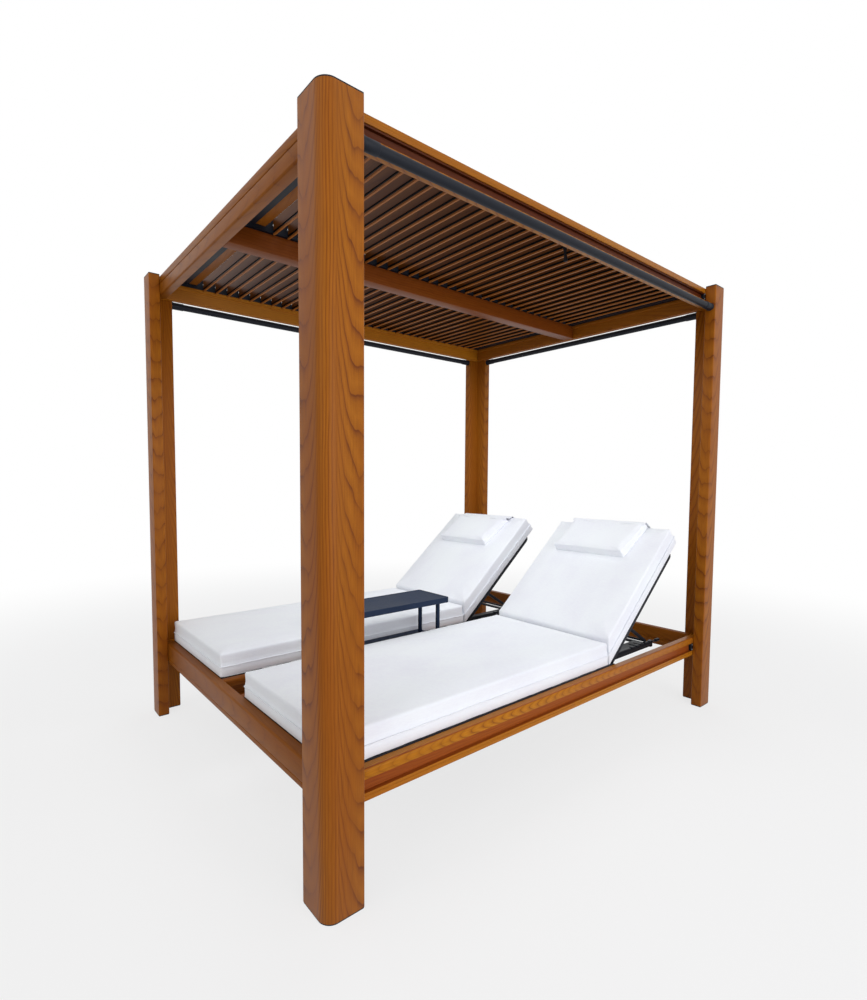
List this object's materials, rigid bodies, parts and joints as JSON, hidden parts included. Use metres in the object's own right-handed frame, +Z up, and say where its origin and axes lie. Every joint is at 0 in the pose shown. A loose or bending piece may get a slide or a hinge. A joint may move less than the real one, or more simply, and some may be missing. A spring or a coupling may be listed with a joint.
{
  "type": "outdoor daybed with canopy",
  "caption": "Post-and-beam outdoor daybed with a louvred roof, side-by-side reclining loungers with thick cushions and a small table between them.",
  "frame": {"origin": "on the ground under the middle of the footprint", "axes": "+X towards the head end, +Y towards the far side, +Z up"},
  "size_m": [2.4, 1.77, 2.223],
  "materials": {
    "wood_look_frame": "semi-gloss wood-look powder coat on aluminium, grain along each member",
    "wood_look_louvre": "semi-gloss wood-look powder coat on aluminium, grain along the blade",
    "black_metal": "satin near-black powder coat",
    "slate_metal": "fine-textured slate blue-grey powder coat",
    "white_fabric": "white woven outdoor cloth over foam"
  },
  "bodies": {
    "frame": {"post_near_foot": "wood_look_frame", "post_near_head": "wood_look_frame", "post_far_head": "wood_look_frame", "post_far_foot": "wood_look_frame", "bed_rail_near": "wood_look_frame", "bed_rail_far": "wood_look_frame", "bed_rail_foot": "wood_look_frame", "bed_rail_head": "wood_look_frame", "roof_beam_near": "wood_look_frame", "roof_beam_far": "wood_look_frame", "roof_beam_foot": "wood_look_frame", "roof_beam_head": "wood_look_frame", "roof_beam_centre": "wood_look_frame", "louvre_carrier": "black_metal", "curtain_rod_near": "black_metal", "curtain_rod_far": "black_metal", "curtain_rod_head": "black_metal", "bed_deck": "black_metal", "seat_cushion_near": "white_fabric", "seat_cushion_far": "white_fabric"},
    "louvre_01": {"louvre_01": "wood_look_louvre"},
    "louvre_02": {"louvre_02": "wood_look_louvre"},
    "louvre_03": {"louvre_03": "wood_look_louvre"},
    "louvre_04": {"louvre_04": "wood_look_louvre"},
    "louvre_05": {"louvre_05": "wood_look_louvre"},
    "louvre_06": {"louvre_06": "wood_look_louvre"},
    "louvre_07": {"louvre_07": "wood_look_louvre"},
    "louvre_08": {"louvre_08": "wood_look_louvre"},
    "louvre_09": {"louvre_09": "wood_look_louvre"},
    "louvre_10": {"louvre_10": "wood_look_louvre"},
    "louvre_11": {"louvre_11": "wood_look_louvre"},
    "louvre_12": {"louvre_12": "wood_look_louvre"},
    "louvre_13": {"louvre_13": "wood_look_louvre"},
    "louvre_14": {"louvre_14": "wood_look_louvre"},
    "louvre_15": {"louvre_15": "wood_look_louvre"},
    "louvre_16": {"louvre_16": "wood_look_louvre", "louvre_lever": "black_metal"},
    "louvre_17": {"louvre_17": "wood_look_louvre"},
    "louvre_18": {"louvre_18": "wood_look_louvre"},
    "louvre_19": {"louvre_19": "wood_look_louvre"},
    "louvre_20": {"louvre_20": "wood_look_louvre"},
    "louvre_21": {"louvre_21": "wood_look_louvre"},
    "louvre_22": {"louvre_22": "wood_look_louvre"},
    "louvre_23": {"louvre_23": "wood_look_louvre"},
    "louvre_24": {"louvre_24": "wood_look_louvre"},
    "louvre_25": {"louvre_25": "wood_look_louvre"},
    "louvre_26": {"louvre_26": "wood_look_louvre"},
    "louvre_27": {"louvre_27": "wood_look_louvre"},
    "louvre_28": {"louvre_28": "wood_look_louvre"},
    "louvre_29": {"louvre_29": "wood_look_louvre"},
    "louvre_30": {"louvre_30": "wood_look_louvre"},
    "louvre_31": {"louvre_31": "wood_look_louvre"},
    "louvre_32": {"louvre_32": "wood_look_louvre"},
    "back_near": {"back_frame_near": "black_metal", "back_cushion_near": "white_fabric"},
    "stay_near": {"back_stay_near": "black_metal"},
    "back_far": {"back_frame_far": "black_metal", "back_cushion_far": "white_fabric"},
    "stay_far": {"back_stay_far": "black_metal"},
    "table": {"side_table": "slate_metal"}
  },
  "joints": [
    {"name": "louvre_01_turn", "type": "hinge", "parent": "frame", "child": "louvre_01", "pos_m": [-0.929, 0, 2.191], "axis": [0, 1, 0], "range_deg": [0, 78]},
    {"name": "louvre_02_turn", "type": "hinge", "parent": "frame", "child": "louvre_02", "pos_m": [-0.8664, 0, 2.191], "axis": [0, 1, 0], "range_deg": [0, 78]},
    {"name": "louvre_03_turn", "type": "hinge", "parent": "frame", "child": "louvre_03", "pos_m": [-0.8038, 0, 2.191], "axis": [0, 1, 0], "range_deg": [0, 78]},
    {"name": "louvre_04_turn", "type": "hinge", "parent": "frame", "child": "louvre_04", "pos_m": [-0.7412, 0, 2.191], "axis": [0, 1, 0], "range_deg": [0, 78]},
    {"name": "louvre_05_turn", "type": "hinge", "parent": "frame", "child": "louvre_05", "pos_m": [-0.6786, 0, 2.191], "axis": [0, 1, 0], "range_deg": [0, 78]},
    {"name": "louvre_06_turn", "type": "hinge", "parent": "frame", "child": "louvre_06", "pos_m": [-0.616, 0, 2.191], "axis": [0, 1, 0], "range_deg": [0, 78]},
    {"name": "louvre_07_turn", "type": "hinge", "parent": "frame", "child": "louvre_07", "pos_m": [-0.5534, 0, 2.191], "axis": [0, 1, 0], "range_deg": [0, 78]},
    {"name": "louvre_08_turn", "type": "hinge", "parent": "frame", "child": "louvre_08", "pos_m": [-0.4908, 0, 2.191], "axis": [0, 1, 0], "range_deg": [0, 78]},
    {"name": "louvre_09_turn", "type": "hinge", "parent": "frame", "child": "louvre_09", "pos_m": [-0.4282, 0, 2.191], "axis": [0, 1, 0], "range_deg": [0, 78]},
    {"name": "louvre_10_turn", "type": "hinge", "parent": "frame", "child": "louvre_10", "pos_m": [-0.3656, 0, 2.191], "axis": [0, 1, 0], "range_deg": [0, 78]},
    {"name": "louvre_11_turn", "type": "hinge", "parent": "frame", "child": "louvre_11", "pos_m": [-0.303, 0, 2.191], "axis": [0, 1, 0], "range_deg": [0, 78]},
    {"name": "louvre_12_turn", "type": "hinge", "parent": "frame", "child": "louvre_12", "pos_m": [-0.2404, 0, 2.191], "axis": [0, 1, 0], "range_deg": [0, 78]},
    {"name": "louvre_13_turn", "type": "hinge", "parent": "frame", "child": "louvre_13", "pos_m": [-0.1778, 0, 2.191], "axis": [0, 1, 0], "range_deg": [0, 78]},
    {"name": "louvre_14_turn", "type": "hinge", "parent": "frame", "child": "louvre_14", "pos_m": [-0.1152, 0, 2.191], "axis": [0, 1, 0], "range_deg": [0, 78]},
    {"name": "louvre_15_turn", "type": "hinge", "parent": "frame", "child": "louvre_15", "pos_m": [-0.0526, 0, 2.191], "axis": [0, 1, 0], "range_deg": [0, 78]},
    {"name": "louvre_16_turn", "type": "hinge", "parent": "frame", "child": "louvre_16", "pos_m": [0.01, 0, 2.191], "axis": [0, 1, 0], "range_deg": [0, 78]},
    {"name": "louvre_17_turn", "type": "hinge", "parent": "frame", "child": "louvre_17", "pos_m": [0.0726, 0, 2.191], "axis": [0, 1, 0], "range_deg": [0, 78]},
    {"name": "louvre_18_turn", "type": "hinge", "parent": "frame", "child": "louvre_18", "pos_m": [0.1352, 0, 2.191], "axis": [0, 1, 0], "range_deg": [0, 78]},
    {"name": "louvre_19_turn", "type": "hinge", "parent": "frame", "child": "louvre_19", "pos_m": [0.1978, 0, 2.191], "axis": [0, 1, 0], "range_deg": [0, 78]},
    {"name": "louvre_20_turn", "type": "hinge", "parent": "frame", "child": "louvre_20", "pos_m": [0.2604, 0, 2.191], "axis": [0, 1, 0], "range_deg": [0, 78]},
    {"name": "louvre_21_turn", "type": "hinge", "parent": "frame", "child": "louvre_21", "pos_m": [0.323, 0, 2.191], "axis": [0, 1, 0], "range_deg": [0, 78]},
    {"name": "louvre_22_turn", "type": "hinge", "parent": "frame", "child": "louvre_22", "pos_m": [0.3856, 0, 2.191], "axis": [0, 1, 0], "range_deg": [0, 78]},
    {"name": "louvre_23_turn", "type": "hinge", "parent": "frame", "child": "louvre_23", "pos_m": [0.4482, 0, 2.191], "axis": [0, 1, 0], "range_deg": [0, 78]},
    {"name": "louvre_24_turn", "type": "hinge", "parent": "frame", "child": "louvre_24", "pos_m": [0.5108, 0, 2.191], "axis": [0, 1, 0], "range_deg": [0, 78]},
    {"name": "louvre_25_turn", "type": "hinge", "parent": "frame", "child": "louvre_25", "pos_m": [0.5734, 0, 2.191], "axis": [0, 1, 0], "range_deg": [0, 78]},
    {"name": "louvre_26_turn", "type": "hinge", "parent": "frame", "child": "louvre_26", "pos_m": [0.636, 0, 2.191], "axis": [0, 1, 0], "range_deg": [0, 78]},
    {"name": "louvre_27_turn", "type": "hinge", "parent": "frame", "child": "louvre_27", "pos_m": [0.6986, 0, 2.191], "axis": [0, 1, 0], "range_deg": [0, 78]},
    {"name": "louvre_28_turn", "type": "hinge", "parent": "frame", "child": "louvre_28", "pos_m": [0.7612, 0, 2.191], "axis": [0, 1, 0], "range_deg": [0, 78]},
    {"name": "louvre_29_turn", "type": "hinge", "parent": "frame", "child": "louvre_29", "pos_m": [0.8238, 0, 2.191], "axis": [0, 1, 0], "range_deg": [0, 78]},
    {"name": "louvre_30_turn", "type": "hinge", "parent": "frame", "child": "louvre_30", "pos_m": [0.8864, 0, 2.191], "axis": [0, 1, 0], "range_deg": [0, 78]},
    {"name": "louvre_31_turn", "type": "hinge", "parent": "frame", "child": "louvre_31", "pos_m": [0.949, 0, 2.191], "axis": [0, 1, 0], "range_deg": [0, 78]},
    {"name": "louvre_32_turn", "type": "hinge", "parent": "frame", "child": "louvre_32", "pos_m": [1.0116, 0, 2.191], "axis": [0, 1, 0], "range_deg": [0, 78]},
    {"name": "back_near_recline", "type": "hinge", "parent": "frame", "child": "back_near", "pos_m": [0.345, -0.45885, 0.355], "axis": [0, -1, 0], "range_deg": [-40, 20]},
    {"name": "stay_near_fold", "type": "hinge", "parent": "back_near", "child": "stay_near", "pos_m": [0.55569, -0.45885, 0.52396], "axis": [0, -1, 0], "range_deg": [-35, 70]},
    {"name": "back_far_recline", "type": "hinge", "parent": "frame", "child": "back_far", "pos_m": [0.345, 0.45885, 0.355], "axis": [0, -1, 0], "range_deg": [-40, 20]},
    {"name": "stay_far_fold", "type": "hinge", "parent": "back_far", "child": "stay_far", "pos_m": [0.55569, 0.45885, 0.52396], "axis": [0, -1, 0], "range_deg": [-35, 70]},
    {"name": "table_lift", "type": "slide", "parent": "frame", "child": "table", "axis": [0, 0, 1], "range_m": [0, 0.35]}
  ],
  "couplings": [
    {"joint": "louvre_01_turn", "follows": "louvre_16_turn", "ratio": 1},
    {"joint": "louvre_02_turn", "follows": "louvre_16_turn", "ratio": 1},
    {"joint": "louvre_03_turn", "follows": "louvre_16_turn", "ratio": 1},
    {"joint": "louvre_04_turn", "follows": "louvre_16_turn", "ratio": 1},
    {"joint": "louvre_05_turn", "follows": "louvre_16_turn", "ratio": 1},
    {"joint": "louvre_06_turn", "follows": "louvre_16_turn", "ratio": 1},
    {"joint": "louvre_07_turn", "follows": "louvre_16_turn", "ratio": 1},
    {"joint": "louvre_08_turn", "follows": "louvre_16_turn", "ratio": 1},
    {"joint": "louvre_09_turn", "follows": "louvre_16_turn", "ratio": 1},
    {"joint": "louvre_10_turn", "follows": "louvre_16_turn", "ratio": 1},
    {"joint": "louvre_11_turn", "follows": "louvre_16_turn", "ratio": 1},
    {"joint": "louvre_12_turn", "follows": "louvre_16_turn", "ratio": 1},
    {"joint": "louvre_13_turn", "follows": "louvre_16_turn", "ratio": 1},
    {"joint": "louvre_14_turn", "follows": "louvre_16_turn", "ratio": 1},
    {"joint": "louvre_15_turn", "follows": "louvre_16_turn", "ratio": 1},
    {"joint": "louvre_17_turn", "follows": "louvre_16_turn", "ratio": 1},
    {"joint": "louvre_18_turn", "follows": "louvre_16_turn", "ratio": 1},
    {"joint": "louvre_19_turn", "follows": "louvre_16_turn", "ratio": 1},
    {"joint": "louvre_20_turn", "follows": "louvre_16_turn", "ratio": 1},
    {"joint": "louvre_21_turn", "follows": "louvre_16_turn", "ratio": 1},
    {"joint": "louvre_22_turn", "follows": "louvre_16_turn", "ratio": 1},
    {"joint": "louvre_23_turn", "follows": "louvre_16_turn", "ratio": 1},
    {"joint": "louvre_24_turn", "follows": "louvre_16_turn", "ratio": 1},
    {"joint": "louvre_25_turn", "follows": "louvre_16_turn", "ratio": 1},
    {"joint": "louvre_26_turn", "follows": "louvre_16_turn", "ratio": 1},
    {"joint": "louvre_27_turn", "follows": "louvre_16_turn", "ratio": 1},
    {"joint": "louvre_28_turn", "follows": "louvre_16_turn", "ratio": 1},
    {"joint": "louvre_29_turn", "follows": "louvre_16_turn", "ratio": 1},
    {"joint": "louvre_30_turn", "follows": "louvre_16_turn", "ratio": 1},
    {"joint": "louvre_31_turn", "follows": "louvre_16_turn", "ratio": 1},
    {"joint": "louvre_32_turn", "follows": "louvre_16_turn", "ratio": 1},
    {"joint": "stay_near_fold", "follows": "back_near_recline", "ratio": -1.75},
    {"joint": "stay_far_fold", "follows": "back_far_recline", "ratio": -1.75}
  ]
}
